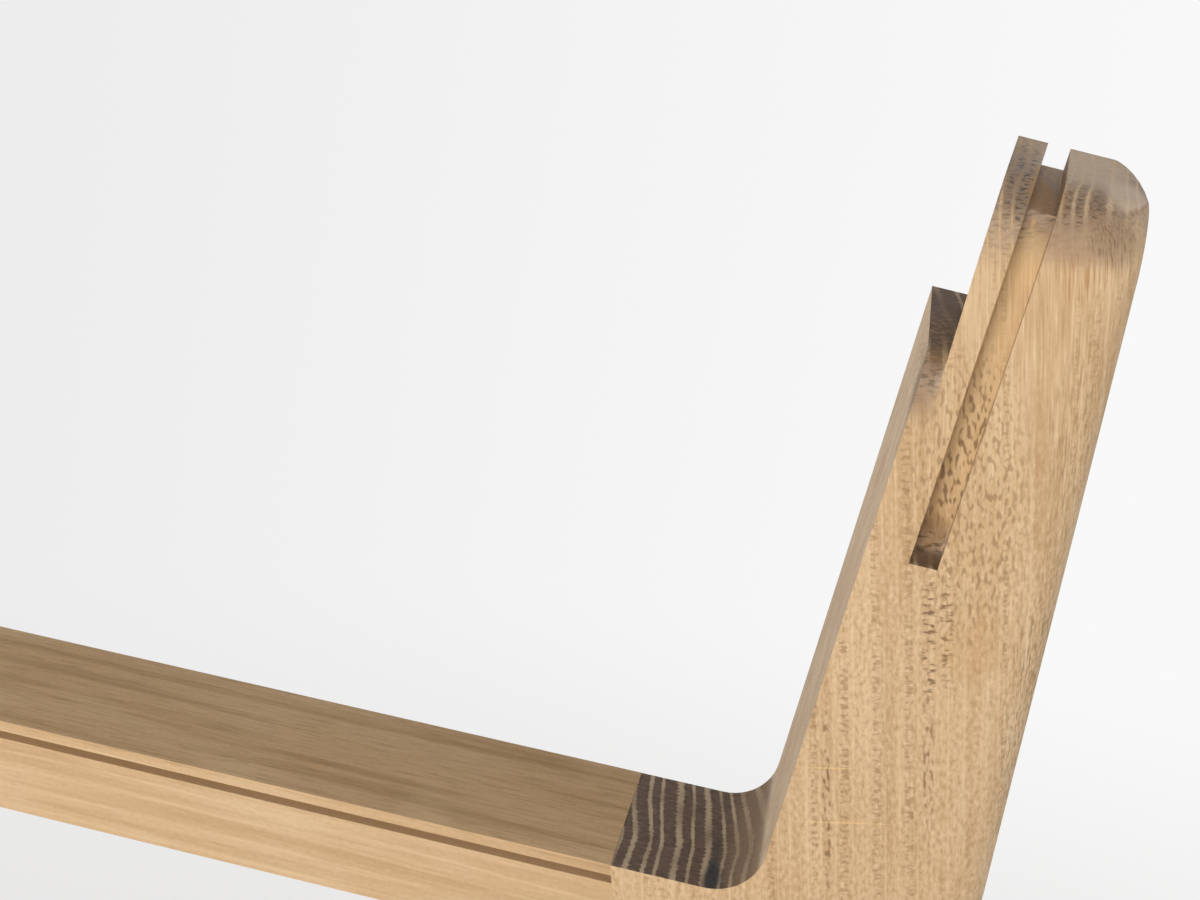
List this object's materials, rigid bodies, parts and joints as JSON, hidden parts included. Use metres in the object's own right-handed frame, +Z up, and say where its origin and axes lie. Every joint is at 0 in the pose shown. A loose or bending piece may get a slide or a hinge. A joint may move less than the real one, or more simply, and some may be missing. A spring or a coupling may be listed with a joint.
{
  "type": "wooden armchair",
  "caption": "Oak dining armchair with wide flat grooved armrests, leaning slotted rear posts, a flat plywood seat and a bowed plywood back band that drops into the post slots.",
  "frame": {"origin": "on the floor, in the middle of the chair's width and depth", "axes": "+Z up, the sitter faces -Y, +X is the sitter's left"},
  "size_m": [0.57, 0.5048, 0.8108],
  "materials": {
    "oiled_oak": "oiled solid oak",
    "oak_plywood": "oiled oak-faced plywood",
    "beech": "plain planed beech",
    "zinc_steel": "zinc plated",
    "nylon": "moulded nylon"
  },
  "bodies": {
    "root": {"arm_front_dowel_left_1": "beech", "arm_front_dowel_left_2": "beech", "arm_front_dowel_right_1": "beech", "arm_front_dowel_right_2": "beech", "arm_rear_dowel_left_1": "beech", "arm_rear_dowel_left_2": "beech", "arm_rear_dowel_right_1": "beech", "arm_rear_dowel_right_2": "beech", "armrest_left": "oiled_oak", "armrest_right": "oiled_oak", "back_band": "oak_plywood", "corner_block_front_left": "beech", "corner_block_front_right": "beech", "corner_block_rear_left": "beech", "corner_block_rear_right": "beech", "front_leg_left": "oiled_oak", "front_leg_right": "oiled_oak", "front_rail": "oiled_oak", "front_rail_dowel_left_1": "beech", "front_rail_dowel_left_2": "beech", "front_rail_dowel_right_1": "beech", "front_rail_dowel_right_2": "beech", "glide_front_left": "nylon", "glide_front_right": "nylon", "glide_rear_left": "nylon", "glide_rear_right": "nylon", "rear_leg_left": "oiled_oak", "rear_leg_right": "oiled_oak", "rear_rail": "oiled_oak", "rear_rail_dowel_left_1": "beech", "rear_rail_dowel_left_2": "beech", "rear_rail_dowel_right_1": "beech", "rear_rail_dowel_right_2": "beech", "seat_panel": "oak_plywood", "seat_screw_front_left": "zinc_steel", "seat_screw_front_right": "zinc_steel", "seat_screw_rear_left": "zinc_steel", "seat_screw_rear_right": "zinc_steel", "side_rail_front_dowel_left_1": "beech", "side_rail_front_dowel_left_2": "beech", "side_rail_front_dowel_right_1": "beech", "side_rail_front_dowel_right_2": "beech", "side_rail_left": "oiled_oak", "side_rail_rear_dowel_left_1": "beech", "side_rail_rear_dowel_left_2": "beech", "side_rail_rear_dowel_right_1": "beech", "side_rail_rear_dowel_right_2": "beech", "side_rail_right": "oiled_oak"}
  },
  "joints": []
}
